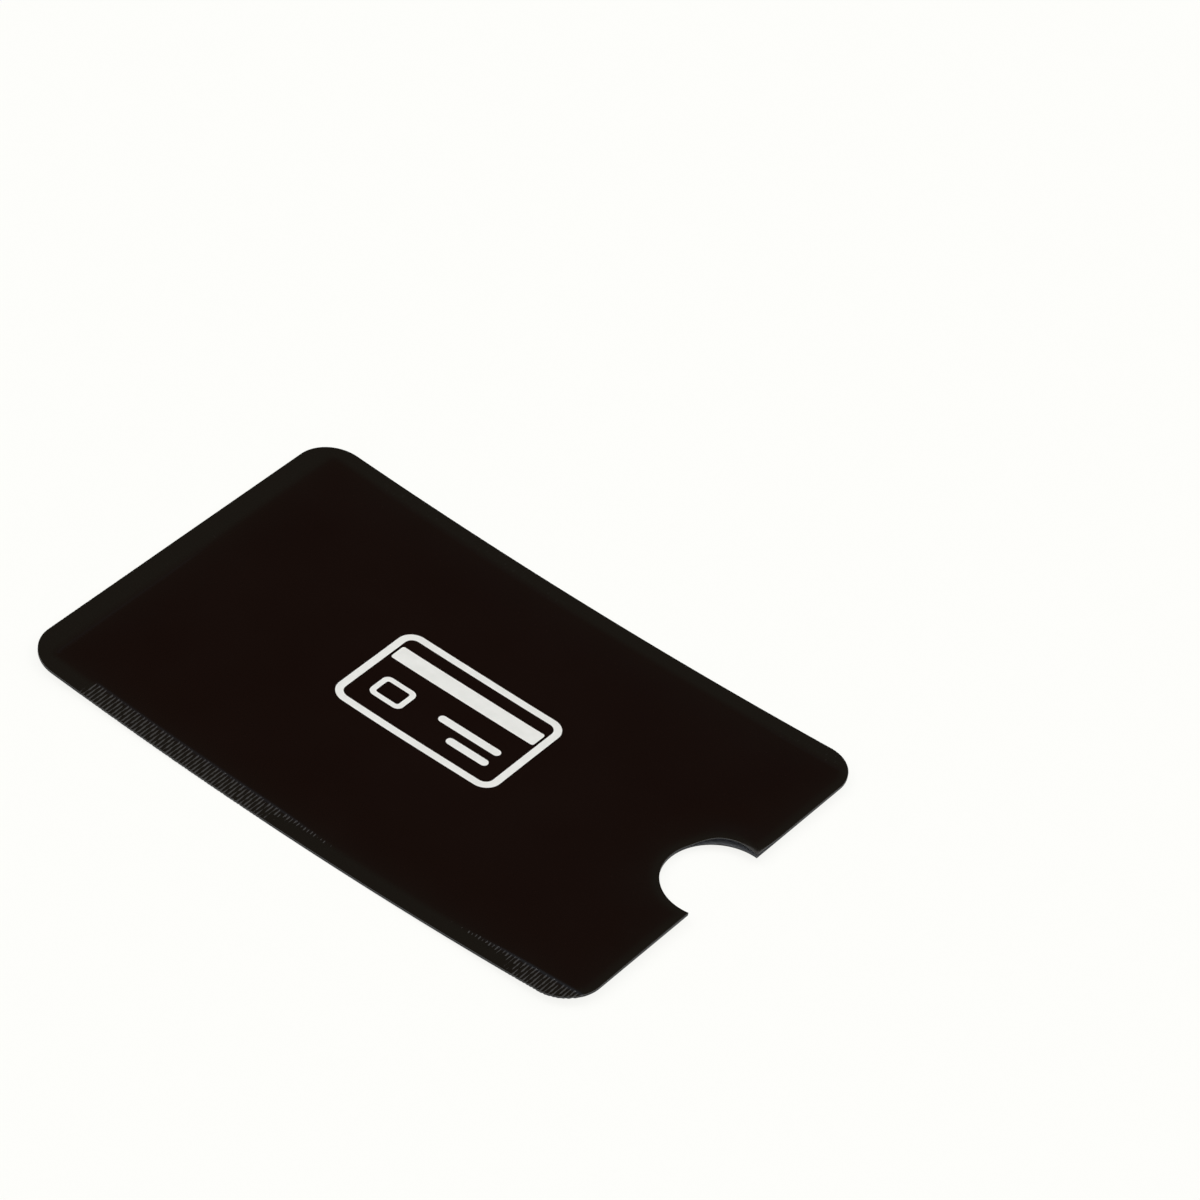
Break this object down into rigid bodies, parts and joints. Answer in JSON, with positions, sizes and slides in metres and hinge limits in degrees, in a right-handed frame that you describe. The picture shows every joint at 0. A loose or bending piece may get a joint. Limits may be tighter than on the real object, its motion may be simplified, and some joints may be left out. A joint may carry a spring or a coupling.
{
  "type": "card sleeve",
  "caption": "Flat heat-sealed foil sleeve that holds a bank card and shields its radio chip, with ribbed welded margins along the sides and closed end, an open mouth and a thumb notch.",
  "frame": {"origin": "under the middle of the sleeve, on the plane that its back wall lies on", "axes": "+X along the length, out of the open mouth; +Y across the width, to the left margin; +Z out of the printed front wall"},
  "size_m": [0.092, 0.062, 0.0013],
  "materials": {
    "face_film": "gloss",
    "welded_margin": "gloss",
    "foil": "satin",
    "liner": "satin",
    "print_ink": "satin"
  },
  "bodies": {
    "root": {"front_face_film": "face_film", "front_foil": "foil", "front_liner": "liner", "back_face_film": "face_film", "back_foil": "foil", "back_liner": "liner", "left_side_seal": "welded_margin", "right_side_seal": "welded_margin", "end_seal": "welded_margin"}
  },
  "joints": []
}
